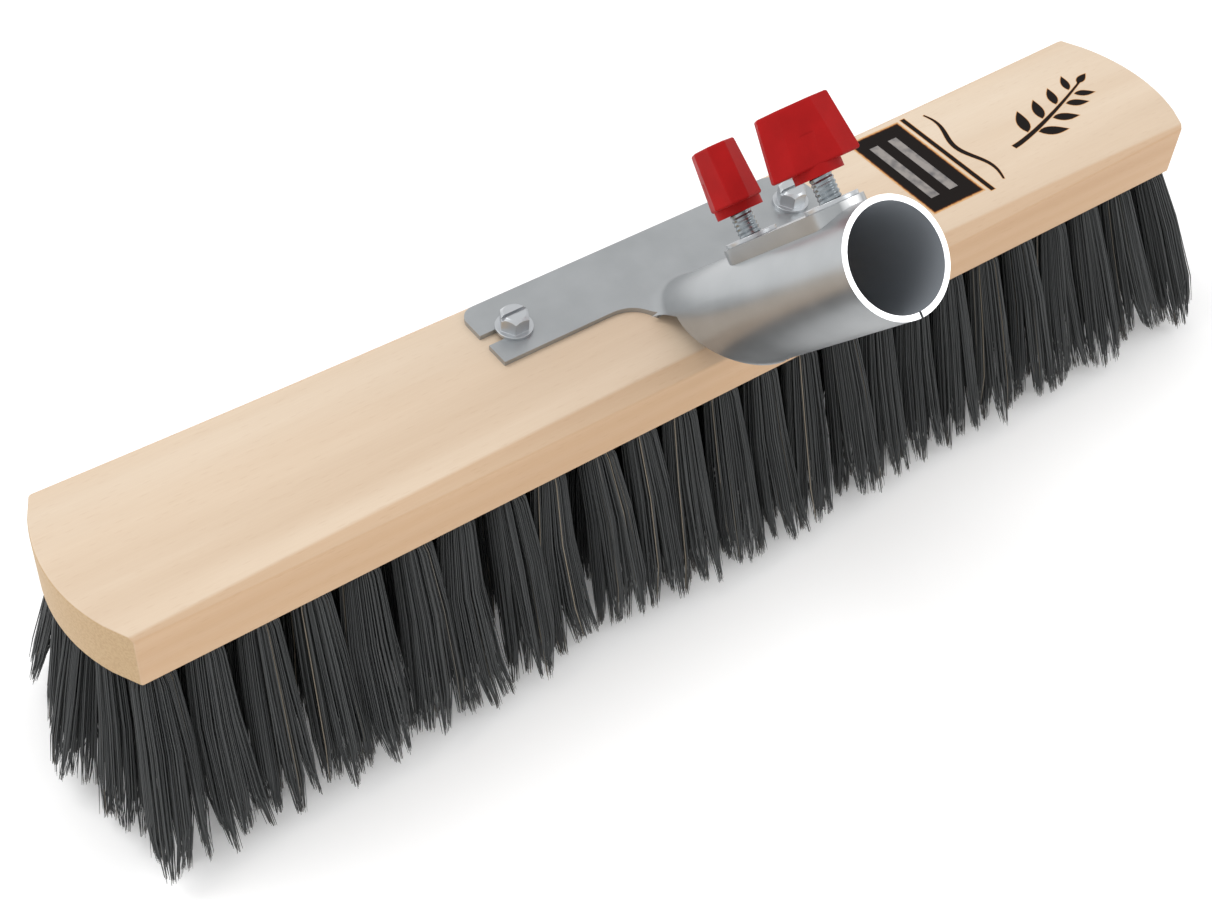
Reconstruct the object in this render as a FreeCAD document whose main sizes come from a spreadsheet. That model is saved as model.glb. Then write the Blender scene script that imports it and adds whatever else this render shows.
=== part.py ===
import FreeCAD, Part
import math
import os

import Sketcher
from FreeCAD import Placement, Rotation, Vector

# Push broom head: a beech block drilled for five rows of bristle tufts, and a stamped
# handle holder whose rolled socket is pinched on the handle by two wing screws.
# Millimetres. +X runs along the block, -Y is the side the handle leaves from, +Z is up.
# The origin is on the sweeping face, at the tip of the middle tuft.

doc = FreeCAD.newDocument("push_broom")

# ---------------------------------------------------------------- driving dimensions

SIZES = (
    ("block_length", 400.0, "tip to tip of the two rounded ends"),
    ("block_width", 58.0, "front side to back side"),
    ("block_thickness", 19.0, "board thickness"),
    ("end_bulge", 8.6, "how far each rounded end stands past its corners"),
    ("bevel_middle", 4.2, "leg of the sanded bevel at the middle of a long edge"),
    ("bevel_end", 1.3, "leg of the same bevel at the block's corners"),
    ("tuft_rows", 5, "rows of tufts from front to back"),
    ("tufts_long_row", 25, "tufts in the first, third and fifth rows"),
    ("side_margin", 7.5, "from the block's side to the outer row of tufts"),
    ("end_margin", 8.6, "from the rounded end to the last tuft of a row"),
    ("wood_between_rows", 3.75, "left between the holes of neighbouring rows"),
    ("tuft_hole_depth", 11.0, "along the hole"),
    ("tuft_clearance", 0.2, "between a tuft and its hole, all round"),
    ("tuft_tip_radius", 7.4, "a tuft where it meets the floor"),
    ("bristle_drop", 65.0, "underside of the block to the floor"),
    ("row_lean", 19.0, "outward lean of the front and back rows, degrees"),
    ("left_end_lean", 10.5, "outward lean of a row's last tuft at the left end, degrees"),
    ("right_end_lean", 16.5, "the same at the right end, which is splayed by use"),
    ("staple_thickness", 0.4, "anchor wire, along the block"),
    ("staple_height", 1.6, "anchor wire, along the hole"),
    ("staple_bite", 0.4, "how far the anchor cuts into each side of its hole"),
    ("staple_depth", 2.0, "from the bottom of the hole to the anchor"),
    ("staple_clearance", 0.1, "round the anchor, inside the folded tuft"),
    ("sheet_thickness", 1.6, "galvanised sheet of the holder"),
    ("plate_half_length", 62.2, "middle of the socket to either end of the plate"),
    ("plate_front", 0.0, "front edge of the plate from the block's middle"),
    ("plate_back_margin", 5.0, "wood left behind the plate"),
    ("plate_corner", 5.0, "rounding of the plate's back left corner"),
    ("neck_flare", 11.0, "how far the tab widens on each side as it joins the plate"),
    ("neck_reach", 7.7, "from the plate's front edge to the end of the tab"),
    ("socket_bore_radius", 14.6, "inside of the rolled socket"),
    ("socket_angle", 49.0, "handle above the floor, degrees"),
    ("socket_foot", -18.5, "where the socket's axis meets the block's top"),
    ("socket_reach", 90.0, "from that point to the mouth"),
    ("socket_root_radius", 5.0, "bend from the plate into the socket"),
    ("socket_ease", 0.8, "how much the bore has opened at the far end of its foot"),
    ("handle_stop_gap", 0.3, "straight bore ends this far above a square-cut handle's stop"),
    ("socket_seam", 0.8, "open seam along the socket's underside"),
    ("skirt_lift", 8.0, "free edge of the socket above the block"),
    ("skirt_slope", 9.0, "length of the slanting edge from the neck to the skirt"),
    ("holder_screw_spacing", 104.0, "between the two screws of the plate"),
    ("holder_screw_line", 10.2, "their distance behind the plate's front edge"),
    ("holder_screw_radius", 2.1, "shank"),
    ("holder_screw_hex", 8.0, "across the flats"),
    ("holder_screw_head", 5.0, "height of the hexagon"),
    ("holder_screw_flange", 5.6, "radius of the washer face"),
    ("holder_screw_flange_height", 1.0, "thickness of the washer face"),
    ("holder_screw_recess", 1.2, "width of the driver slot"),
    ("holder_screw_clearance", 0.2, "round the shank in the plate"),
    ("thread_play", 0.05, "round a screw in its thread or in wood"),
    ("wood_under_screw", 0.8, "left between a screw's point and the tuft holes"),
    ("clamp_from_mouth", 15.8, "socket mouth to the upper clamp screw"),
    ("clamp_spacing", 40.2, "between the two clamp screws"),
    ("clamp_screw_radius", 3.2, "quarter-inch screw"),
    ("clamp_tip_gap", 0.3, "screw tip outside the bore at rest"),
    ("strip_width", 17.0, "thread strip across the socket"),
    ("strip_height", 2.0, "top of the strip above the socket's crest"),
    ("collar_radius", 7.4, "thread collar"),
    ("collar_height", 1.2, "thread collar above its strip"),
    ("knob_gap", 6.8, "open thread between the collar and the hub at rest"),
    ("knob_height", 16.8, "of the wings"),
    ("knob_length", 24.0, "across the wings at the bottom"),
    ("knob_top_length", 19.5, "across the wings at the top"),
    ("knob_depth", 13.6, "front to back at the bottom"),
    ("knob_top_depth", 11.8, "front to back at the top"),
    ("knob_nose", 5.0, "width of a wing's end face"),
    ("knob_shoulder", 5.4, "length of the bevel beside an end face"),
    ("knob_rounding", 0.7, "rounding of the moulded edges"),
    ("hub_radius", 6.7, "round hub under the wings"),
    ("hub_drop", 2.5, "how far the hub stands below the wings"),
    ("insert_depth", 12.0, "screw held inside the knob"),
    ("insert_gap", 0.3, "above the end of the screw in the knob"),
    ("lower_knob_turn", -63.0, "lower wings from the block's length, degrees"),
    ("upper_knob_turn", 27.0, "upper wings from the block's length, degrees"),
)

sheet = doc.addObject("Spreadsheet::Sheet", "sizes")
for line, (alias, value, note) in enumerate(SIZES, start=1):
    sheet.set("A%d" % line, note)
    sheet.set("B%d" % line, str(value))
    sheet.setAlias("B%d" % line, alias)
doc.recompute()


def size(alias):
    """A driving dimension, read from the sheet."""
    return float(sheet.get(alias))


# ---------------------------------------------------------------- shared places

BLOCK_TOP = size("bristle_drop") + size("block_thickness")
PLATE_TOP = BLOCK_TOP + size("sheet_thickness")
SOCKET_OUTER_RADIUS = size("socket_bore_radius") + size("sheet_thickness")
STRIP_TOP = SOCKET_OUTER_RADIUS + size("strip_height")
HUB_UNDERSIDE = STRIP_TOP + size("collar_height") + size("knob_gap")
WINGS_UNDERSIDE = HUB_UNDERSIDE + size("hub_drop")
PLATE_BACK = size("block_width") / 2 - size("plate_back_margin")
TAB_END = size("plate_front") - size("neck_reach")
HOLDER_SCREW_LINE = size("plate_front") + size("holder_screw_line")
ROW_PITCH = 2 * (size("block_width") / 2 - size("side_margin")) / (size("tuft_rows") - 1)
TUFT_HOLE_RADIUS = (ROW_PITCH - size("wood_between_rows")) / 2
END_ARC_RADIUS = ((size("block_width") / 2) ** 2 + size("end_bulge") ** 2) / (2 * size("end_bulge"))
END_ARC_CENTRE = size("block_length") / 2 - END_ARC_RADIUS
SOCKET_TURN = Rotation(Vector(1, 0, 0), 90 - size("socket_angle"))
SOCKET_FOOT = Vector(0, size("socket_foot"), BLOCK_TOP)
HOLDER_SCREWS = (-size("holder_screw_spacing") / 2, size("holder_screw_spacing") / 2)
CLAMPS = (
    ("lower", size("socket_reach") - size("clamp_from_mouth") - size("clamp_spacing")),
    ("upper", size("socket_reach") - size("clamp_from_mouth")),
)
ROW_NAMES = ("front", "second", "middle", "fourth", "back")
PAST = 1.0  # how far a cutting shape runs past what it cuts


def socket_point(across, away, along):
    """A point given across the socket, away from its axis (up and back) and along it from its foot."""
    return SOCKET_FOOT + SOCKET_TURN.multVec(Vector(across, away, along))


def clamp_placement(along, turn):
    """Z runs out along a clamp screw from the socket's axis. X is turned about it from the block's length."""
    outward = Rotation(Vector(1, 0, 0), -90)
    spin = Rotation(Vector(0, 0, 1), -turn)
    return Placement(socket_point(0, 0, along), SOCKET_TURN * outward * spin)


def add_part(kind, name, **values):
    """A document object with its Label, plain properties, and strings bound to the sheet."""
    part = doc.addObject(kind, name)
    part.Label = name
    for prop, value in values.items():
        if isinstance(value, str):
            part.setExpression(prop, value)
        else:
            setattr(part, prop, value)
    return part


def add_shape(name, shape):
    """A plain shape as a document object."""
    part = doc.addObject("Part::Feature", name)
    part.Label = name
    part.Shape = shape
    return part


def add_cut(name, base, tool):
    return add_part("Part::Cut", name, Base=base, Tool=tool)


def add_fuse(name, *pieces):
    return add_part("Part::MultiFuse", name, Shapes=list(pieces))


def origin_plane(body, role):
    """One of a body's own origin planes."""
    return next(plane for plane in body.Origin.OriginFeatures if plane.Role == role)


def add_body(name):
    body = doc.addObject("PartDesign::Body", name)
    body.Label = name
    return body


def add_sketch(body, name, role):
    sketch = body.newObject("Sketcher::SketchObject", name)
    sketch.AttachmentSupport = [(origin_plane(body, role), "")]
    sketch.MapMode = "FlatFace"
    return sketch


def join_ends(sketch, count):
    """Close a chain of sketch curves, each one ending where the next starts."""
    for index in range(count):
        sketch.addConstraint(Sketcher.Constraint("Coincident", index, 2, (index + 1) % count, 1))


def drive(sketch, name, formula, *reference):
    """A dimension of a sketch, bound to the sheet."""
    index = sketch.addConstraint(Sketcher.Constraint(*reference))
    sketch.renameConstraint(index, name)
    sketch.setExpression("Constraints." + name, formula)


def upright_prism(points, low, high):
    """A prism over a closed outline of points in plan."""
    corners = [Vector(x, y, low) for x, y in points]
    face = Part.Face(Part.makePolygon(corners + corners[:1]))
    return face.extrude(Vector(0, 0, high - low))


# ---------------------------------------------------------------- wooden block

def block_blank():
    """The sawn board: straight long sides and shallow rounded ends."""
    corner = size("block_length") / 2 - size("end_bulge")
    tip = size("block_length") / 2
    side = size("block_width") / 2
    body = add_body("block_blank")
    sketch = add_sketch(body, "block_outline", "XY_Plane")
    sketch.addGeometry(Part.LineSegment(Vector(-corner, -side, 0), Vector(corner, -side, 0)))
    sketch.addGeometry(Part.Arc(Vector(corner, -side, 0), Vector(tip, 0, 0), Vector(corner, side, 0)))
    sketch.addGeometry(Part.LineSegment(Vector(corner, side, 0), Vector(-corner, side, 0)))
    sketch.addGeometry(Part.Arc(Vector(-corner, side, 0), Vector(-tip, 0, 0), Vector(-corner, -side, 0)))
    join_ends(sketch, 4)
    sketch.addConstraint(Sketcher.Constraint("Symmetric", 0, 1, 2, 1, -1, 1))
    sketch.addConstraint(Sketcher.Constraint("Symmetric", 0, 1, 0, 2, -2))
    sketch.addConstraint(Sketcher.Constraint("Equal", 1, 3))
    straight = "sizes.block_length - 2 * sizes.end_bulge"
    drive(sketch, "corner_to_corner", straight, "DistanceX", 0, 1, 0, 2, 2 * corner)
    drive(sketch, "side_to_side", "sizes.block_width", "DistanceY", 0, 2, 2, 1, 2 * side)
    radius = "((sizes.block_width / 2) ^ 2 + sizes.end_bulge ^ 2) / (2 * sizes.end_bulge)"
    drive(sketch, "end_radius", radius, "Radius", 1, END_ARC_RADIUS)
    pad = body.newObject("PartDesign::Pad", "block_board")
    pad.Profile = sketch
    pad.setExpression("Length", "sizes.block_thickness")
    body.Placement = Placement(Vector(0, 0, size("bristle_drop")), Rotation())
    return body


def bevel_drum(side):
    """The sanding drum that bevels one top edge deepest at its middle. side is -1 in front and 1 behind."""
    half = size("block_length") / 2 - size("end_bulge")
    deep = size("bevel_middle") / math.sqrt(2)
    shallow = size("bevel_end") / math.sqrt(2)
    radius = half ** 2 / (2 * (deep - shallow))
    wide = 4 * size("bevel_middle")
    outward = Vector(0, side, 1).normalize()
    across = Vector(0, -side, 1).normalize()
    edge = Vector(0, side * size("block_width") / 2, BLOCK_TOP)
    start = edge + outward * (radius - deep) - across * (wide / 2)
    name = "front_bevel" if side < 0 else "back_bevel"
    return add_shape(name, Part.makeCylinder(radius, wide, start, across))


def row_offset(row):
    """How far a row lies from the middle one, with the rows spread evenly between the side margins."""
    return (row - (size("tuft_rows") - 1) / 2) * ROW_PITCH


def tuft_places(row):
    """Root point on the underside and downward direction of each tuft of a row, fanned out all round."""
    y = row_offset(row)
    count = int(size("tufts_long_row")) - row % 2
    reach = END_ARC_CENTRE + math.sqrt(END_ARC_RADIUS ** 2 - y ** 2) - size("end_margin")
    lean_y = math.tan(math.radians(size("row_lean"))) * y / row_offset(size("tuft_rows") - 1)
    places = []
    for column in range(count):
        share = 2 * column / (count - 1) - 1
        end_lean = size("left_end_lean") if share < 0 else size("right_end_lean")
        lean_x = math.tan(math.radians(end_lean)) * share ** 3
        root = Vector(share * reach, y, size("bristle_drop"))
        places.append((root, Vector(lean_x, lean_y, -1).normalize()))
    return places


def block_holes():
    """Every blind hole of the block: the tufts' from below and the holder screws' from above."""
    depth = size("tuft_hole_depth")
    through = TUFT_HOLE_RADIUS
    holes = []
    for row in range(int(size("tuft_rows"))):
        for root, down in tuft_places(row):
            top = root - down * depth
            holes.append(Part.makeCylinder(TUFT_HOLE_RADIUS, depth + through, top, down))
    pilot = size("holder_screw_radius") + size("thread_play")
    low = BLOCK_TOP - holder_screw_bite() - size("thread_play")
    for x in HOLDER_SCREWS:
        start = Vector(x, HOLDER_SCREW_LINE, low)
        holes.append(Part.makeCylinder(pilot, BLOCK_TOP - low + PAST, start, Vector(0, 0, 1)))
    return add_shape("block_holes", Part.makeCompound(holes))


def wooden_block():
    front = add_cut("front_bevelled", block_blank(), bevel_drum(-1))
    back = add_cut("back_bevelled", front, bevel_drum(1))
    return add_cut("wooden_block", back, block_holes())


# ---------------------------------------------------------------- bristle tufts and their anchors

def hole_frame(root, down):
    """A placement at a tuft's root: Z runs up the hole, and X is as near the block's length as it can be."""
    up = down * -1
    across = up.cross(Vector(1, 0, 0)).normalize()
    along = across.cross(up)
    return Placement(root, Rotation(along, across, up, "ZXY"))


def anchor_box(frame, spare, half_width):
    """The anchor's flat wire across a hole, with a spare margin all round."""
    thickness = size("staple_thickness") + 2 * spare
    height = size("staple_height") + 2 * spare
    top = size("tuft_hole_depth") - size("staple_depth") + spare
    box = Part.makeBox(thickness, 2 * half_width, height, Vector(-thickness / 2, -half_width, top - height))
    box.Placement = frame
    return box


def tuft_solid(root, down):
    """A folded tuft: straight in its hole, then widening down to the flat sweeping face."""
    neck = TUFT_HOLE_RADIUS - size("tuft_clearance")
    tip = size("tuft_tip_radius")
    top = size("tuft_hole_depth") - size("tuft_clearance")
    straight = size("bristle_drop") / -down.z
    past = tip
    wide = neck + (tip - neck) * (straight + past) / straight
    profile = [
        Vector(0, 0, top),
        Vector(neck, 0, top),
        Vector(neck, 0, 0),
        Vector(wide, 0, -straight - past),
        Vector(0, 0, -straight - past),
    ]
    turned = Part.Face(Part.makePolygon(profile + profile[:1])).revolve(Vector(), Vector(0, 0, 1), 360)
    frame = hole_frame(root, down)
    turned.Placement = frame
    span = size("block_length") * 2
    floor = Part.makeBox(span, span, span, Vector(-span / 2, -span / 2, -span))
    slot = anchor_box(frame, size("staple_clearance"), 2 * TUFT_HOLE_RADIUS)
    return turned.cut([floor, slot])


def bristle_row(row):
    tufts = [tuft_solid(root, down) for root, down in tuft_places(row)]
    return add_shape("bristles_%s_row" % ROW_NAMES[row], Part.makeCompound(tufts))


def anchor_row(row):
    half_width = TUFT_HOLE_RADIUS + size("staple_bite")
    anchors = [anchor_box(hole_frame(root, down), 0, half_width) for root, down in tuft_places(row)]
    return add_shape("anchors_%s_row" % ROW_NAMES[row], Part.makeCompound(anchors))


# ---------------------------------------------------------------- handle holder

def neck_half_width():
    """Half the socket's width where the tab runs into it, so that the two edges meet."""
    into = (TAB_END - size("socket_foot")) * math.sin(math.radians(size("socket_angle")))
    return math.sqrt(SOCKET_OUTER_RADIUS ** 2 - into ** 2)


def plate_outline():
    """Plan of the stamped plate: a forked left ear, a round right ear and the tab that becomes the socket."""
    left = -size("plate_half_length")
    front = size("plate_front")
    back = PLATE_BACK
    ear = (back - front) / 2
    right = size("plate_half_length") - ear
    corner = size("plate_corner")
    slot_x = HOLDER_SCREWS[0]
    slot_y = HOLDER_SCREW_LINE
    slot = size("holder_screw_radius") + size("holder_screw_clearance")
    neck = neck_half_width()
    wide = neck + size("neck_flare")
    tab = TAB_END
    ease = size("neck_reach") / 3

    def at(x, y):
        return Vector(x, y, BLOCK_TOP)

    def flare(mirror):
        """The tab's edge, eased out of the plate's front edge."""
        bend = Part.BezierCurve()
        bend.setPoles([at(mirror * wide, front), at(mirror * (neck + ease), front), at(mirror * neck, tab)])
        return bend.toShape()

    edges = [
        Part.makeLine(at(left, front), at(-wide, front)),
        flare(-1),
        Part.makeLine(at(-neck, tab), at(neck, tab)),
        flare(1),
        Part.makeLine(at(wide, front), at(right, front)),
        Part.Arc(at(right, front), at(right + ear, front + ear), at(right, back)).toShape(),
        Part.makeLine(at(right, back), at(left + corner, back)),
        Part.Arc(
            at(left + corner, back),
            at(left + corner * (1 - math.sqrt(0.5)), back - corner * (1 - math.sqrt(0.5))),
            at(left, back - corner),
        ).toShape(),
        Part.makeLine(at(left, back - corner), at(left, slot_y + slot)),
        Part.makeLine(at(left, slot_y + slot), at(slot_x, slot_y + slot)),
        Part.Arc(at(slot_x, slot_y + slot), at(slot_x + slot, slot_y), at(slot_x, slot_y - slot)).toShape(),
        Part.makeLine(at(slot_x, slot_y - slot), at(left, slot_y - slot)),
        Part.makeLine(at(left, slot_y - slot), at(left, front)),
    ]
    return Part.Face(Part.Wire(Part.__sortEdges__(edges)))


def rooted_socket():
    """The outside of plate and socket, blended round the socket's root where the sheet is bent up."""
    deep = 2 * SOCKET_OUTER_RADIUS
    tube = add_part(
        "Part::Cylinder",
        "socket_outside",
        Radius="sizes.socket_bore_radius + sizes.sheet_thickness",
        Height=size("socket_reach") + deep,
        Placement=Placement(socket_point(0, 0, -deep), SOCKET_TURN),
    )
    span = size("plate_half_length") * 2
    slab = add_part(
        "Part::Box",
        "plate_blank",
        Length=span,
        Width=span,
        Height="sizes.sheet_thickness",
        Placement=Placement(Vector(-span / 2, PLATE_BACK - span, BLOCK_TOP), Rotation()),
    )
    below = add_part(
        "Part::Box",
        "below_plate",
        Length=span,
        Width=span,
        Height=deep * 2,
        Placement=Placement(Vector(-span / 2, PLATE_BACK - span, BLOCK_TOP - deep * 2), Rotation()),
    )
    joined = add_fuse("plate_and_tube", slab, add_cut("tube_above_block", tube, below))
    doc.recompute()
    near = 0.01
    root = [
        index
        for index, edge in enumerate(joined.Shape.Edges, start=1)
        if edge.Closed and abs(edge.BoundBox.ZMin - PLATE_TOP) < near and edge.BoundBox.ZLength < near
    ]
    radius = size("socket_root_radius")
    bends = [(index, radius, radius) for index in root]
    return add_part("Part::Fillet", "bent_root", Base=joined, Edges=bends)


def holder_trim():
    """What is stamped away below the skirt: all but the plate's plan and the slanting sides of the neck."""
    span = size("plate_half_length") * 3
    low = BLOCK_TOP - PAST
    high = BLOCK_TOP + size("skirt_lift")
    around = Part.makeBox(span, span, high - low, Vector(-span / 2, PLATE_BACK + PAST - span, low))
    plan = plate_outline()
    plan.translate(Vector(0, 0, -PAST))
    kept = plan.extrude(Vector(0, 0, high - low))
    side = [
        Vector(-span / 2, TAB_END, PLATE_TOP),
        Vector(-span / 2, TAB_END - size("skirt_slope"), high),
        Vector(-span / 2, TAB_END, high),
    ]
    slope = Part.Face(Part.makePolygon(side + side[:1])).extrude(Vector(span, 0, 0))
    return add_shape("holder_trim", around.cut([kept, slope]))


def socket_bore():
    """Straight from the mouth to where a square-cut handle meets the block, then easing open to the foot."""
    radius = size("socket_bore_radius")
    stop = radius / math.tan(math.radians(size("socket_angle"))) + size("handle_stop_gap")
    deep = 2 * SOCKET_OUTER_RADIUS
    out = SOCKET_TURN.multVec(Vector(0, 0, 1))
    straight = Part.makeCylinder(radius, size("socket_reach"), socket_point(0, 0, stop), out)
    eased = Part.makeCone(radius + size("socket_ease"), radius, stop + deep, socket_point(0, 0, -deep), out)
    return straight.fuse(eased)


def handle_holder():
    """One stamping: the plate lies on the block, and its tab is bent up and rolled into the socket."""
    seam = Part.makeBox(
        size("socket_seam"),
        SOCKET_OUTER_RADIUS * 2,
        size("socket_reach") * 2,
        Vector(-size("socket_seam") / 2, -SOCKET_OUTER_RADIUS * 2, 0),
    )
    seam.Placement = Placement(SOCKET_FOOT, SOCKET_TURN)
    holes = [seam]
    thread = size("clamp_screw_radius") + size("thread_play")
    away = SOCKET_TURN.multVec(Vector(0, 1, 0))
    for _, along in CLAMPS:
        holes.append(Part.makeCylinder(thread, STRIP_TOP, socket_point(0, 0, along), away))
    screw = Vector(HOLDER_SCREWS[1], HOLDER_SCREW_LINE, BLOCK_TOP - PAST)
    clear = size("holder_screw_radius") + size("holder_screw_clearance")
    holes.append(Part.makeCylinder(clear, size("sheet_thickness") + 2 * PAST, screw, Vector(0, 0, 1)))
    trimmed = add_cut("holder_trimmed", rooted_socket(), holder_trim())
    return add_cut("handle_holder", trimmed, add_shape("holder_holes", socket_bore().fuse(holes)))


# ---------------------------------------------------------------- thread strip and collars

def thread_strip():
    """A stiffening strip welded along the socket's crest, round-ended about its two screw holes."""
    half = size("strip_width") / 2
    low = CLAMPS[0][1]
    high = CLAMPS[1][1]
    out = Vector(0, 1, 0)
    middle = Part.makeBox(2 * half, STRIP_TOP, high - low, Vector(-half, 0, low))
    ends = [Part.makeCylinder(half, STRIP_TOP, Vector(0, 0, along), out) for along in (low, high)]
    solid = middle.fuse(ends).removeSplitter()
    tube = Part.makeCylinder(SOCKET_OUTER_RADIUS, size("socket_reach") * 2, Vector())
    thread = size("clamp_screw_radius") + size("thread_play")
    bores = [Part.makeCylinder(thread, 2 * STRIP_TOP, Vector(0, 0, along), out) for along in (low, high)]
    strip = add_shape("thread_strip", solid.cut([tube] + bores))
    strip.Placement = Placement(SOCKET_FOOT, SOCKET_TURN)
    return strip


def thread_collar(which, along):
    """A round weld nut on the strip, which the clamp screw runs in."""
    name = "%s_thread_collar" % which
    body = add_body(name)
    sketch = add_sketch(body, name + "_ring", "XY_Plane")
    for radius in (size("collar_radius"), size("clamp_screw_radius")):
        ring = sketch.addGeometry(Part.Circle(Vector(), Vector(0, 0, 1), radius))
        sketch.addConstraint(Sketcher.Constraint("Coincident", ring, 3, -1, 1))
    drive(sketch, "outside", "sizes.collar_radius", "Radius", 0, size("collar_radius"))
    thread = "sizes.clamp_screw_radius + sizes.thread_play"
    drive(sketch, "thread", thread, "Radius", 1, size("clamp_screw_radius"))
    pad = body.newObject("PartDesign::Pad", name + "_pad")
    pad.Profile = sketch
    pad.setExpression("Length", "sizes.collar_height")
    seat = clamp_placement(along, 0)
    body.Placement = seat * Placement(Vector(0, 0, STRIP_TOP), Rotation())
    return body


# ---------------------------------------------------------------- clamp screws and wing knobs

def clamp_screw(which, along):
    """A plain-ended screw: its tip waits just outside the bore, and its head end is moulded into the knob."""
    name = "%s_clamp_screw" % which
    tip = size("socket_bore_radius") + size("clamp_tip_gap")
    head = HUB_UNDERSIDE + size("insert_depth")
    body = add_body(name)
    sketch = add_sketch(body, name + "_profile", "XZ_Plane")
    radius = size("clamp_screw_radius")
    point = radius / 3
    corners = [(0, tip), (radius - point, tip), (radius, tip + point), (radius, head), (0, head)]
    points = [Vector(x, z, 0) for x, z in corners]
    for start, end in zip(points, points[1:] + points[:1]):
        sketch.addGeometry(Part.LineSegment(start, end))
    join_ends(sketch, len(points))
    for index in (0, 3):
        sketch.addConstraint(Sketcher.Constraint("Horizontal", index))
    sketch.addConstraint(Sketcher.Constraint("Vertical", 2))
    sketch.addConstraint(Sketcher.Constraint("PointOnObject", 0, 1, -2))
    sketch.addConstraint(Sketcher.Constraint("PointOnObject", 3, 2, -2))
    drive(sketch, "radius", "sizes.clamp_screw_radius", "DistanceX", 3, 2, 3, 1, radius)
    drive(sketch, "point_flat", "sizes.clamp_screw_radius * 2 / 3", "DistanceX", 0, 1, 0, 2, radius - point)
    drive(sketch, "point_depth", "sizes.clamp_screw_radius / 3", "DistanceY", 1, 1, 1, 2, point)
    drive(sketch, "tip", "sizes.socket_bore_radius + sizes.clamp_tip_gap", "DistanceY", -1, 1, 0, 1, tip)
    crest = "sizes.socket_bore_radius + sizes.sheet_thickness + sizes.strip_height + sizes.collar_height"
    reach = crest + " + sizes.knob_gap + sizes.insert_depth"
    drive(sketch, "head", reach, "DistanceY", -1, 1, 3, 2, head)
    turned = body.newObject("PartDesign::Revolution", name + "_turned")
    turned.Profile = sketch
    turned.ReferenceAxis = (sketch, ["V_Axis"])
    turned.Angle = 360
    body.Placement = clamp_placement(along, 0)
    return body


def wing_outline(length, depth, high):
    """Plan of the wings at one height: flat sides, bevelled shoulders and narrow end faces."""
    end = length / 2
    side = depth / 2
    nose = size("knob_nose") / 2
    flat = end - size("knob_shoulder")
    plan = [(end, -nose), (end, nose), (flat, side), (-flat, side)]
    plan += [(-x, -y) for x, y in plan]
    corners = [Vector(x, y, high) for x, y in plan]
    return Part.makePolygon(corners + corners[:1])


def wing_knob(which, along, turn):
    """A moulded knob: tapering wings on a round hub, with a blind hole for the screw."""
    low = WINGS_UNDERSIDE
    high = low + size("knob_height")
    bottom = wing_outline(size("knob_length"), size("knob_depth"), low)
    top = wing_outline(size("knob_top_length"), size("knob_top_depth"), high)
    wings = Part.makeLoft([bottom, top], True, True)
    wings = wings.makeFillet(size("knob_rounding"), wings.Edges)
    foot = Vector(0, 0, HUB_UNDERSIDE)
    hub = Part.makeCylinder(size("hub_radius"), size("hub_drop") + size("knob_height") / 2, foot)
    depth = size("insert_depth") + size("insert_gap")
    bore = Part.makeCylinder(size("clamp_screw_radius") + size("thread_play"), depth, foot)
    knob = add_shape("%s_wing_knob" % which, wings.fuse(hub).cut(bore))
    knob.Placement = clamp_placement(along, turn)
    return knob


# ---------------------------------------------------------------- holder screws

def holder_screw_bite():
    """How deep a holder screw goes into the wood, short of the tuft holes."""
    return size("block_thickness") - size("tuft_hole_depth") - size("wood_under_screw")


def holder_screw(x):
    """A slotted hexagon screw with a washer face, through the plate into the block."""
    radius = size("holder_screw_radius")
    low = BLOCK_TOP - holder_screw_bite()
    flange_height = size("holder_screw_flange_height")
    flange_top = PLATE_TOP + flange_height
    head_top = flange_top + size("holder_screw_head")
    corner = size("holder_screw_hex") / math.sqrt(3)
    slot = size("holder_screw_recess")
    up = Vector(0, 0, 1)
    flange = Part.makeCylinder(size("holder_screw_flange"), flange_height, up * PLATE_TOP)
    turns = [math.radians(60 * side) for side in range(6)]
    ring = [(corner * math.cos(turn), corner * math.sin(turn)) for turn in turns]
    hexagon = upright_prism(ring, flange_top, head_top)
    crown = Part.makeCone(corner * 2, corner - slot, corner + slot, up * (head_top - corner - slot))
    shank = Part.makeCylinder(radius, PLATE_TOP - low - radius, up * (low + radius))
    point = Part.makeCone(radius / 4, radius, radius, up * low)
    recess = Part.makeBox(corner * 3, slot, slot, Vector(-corner * 1.5, -slot / 2, head_top - slot))
    screw = flange.fuse([hexagon.common(crown), shank, point]).cut(recess).removeSplitter()
    screw.translate(Vector(x, HOLDER_SCREW_LINE, 0))
    return screw


def holder_screws():
    return add_shape("holder_screws", Part.makeCompound([holder_screw(x) for x in HOLDER_SCREWS]))


# ---------------------------------------------------------------- assembly

def all_parts():
    parts = [wooden_block(), handle_holder(), holder_screws(), thread_strip()]
    for row in range(int(size("tuft_rows"))):
        parts.append(anchor_row(row))
        parts.append(bristle_row(row))
    for which, along in CLAMPS:
        parts.append(thread_collar(which, along))
        parts.append(clamp_screw(which, along))
        parts.append(wing_knob(which, along, size("%s_knob_turn" % which)))
    return parts


def check(parts):
    """Stop before writing if any object failed, or any sub-part's shape is missing or not valid."""
    for item in doc.Objects:
        if "Invalid" in item.State or "Error" in item.State:
            raise RuntimeError("%s failed: %s" % (item.Name, item.State))
    for part in parts:
        if part.Shape.isNull() or not part.Shape.isValid() or not part.Shape.Solids:
            raise RuntimeError("%s has no valid solid" % part.Label)


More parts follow.
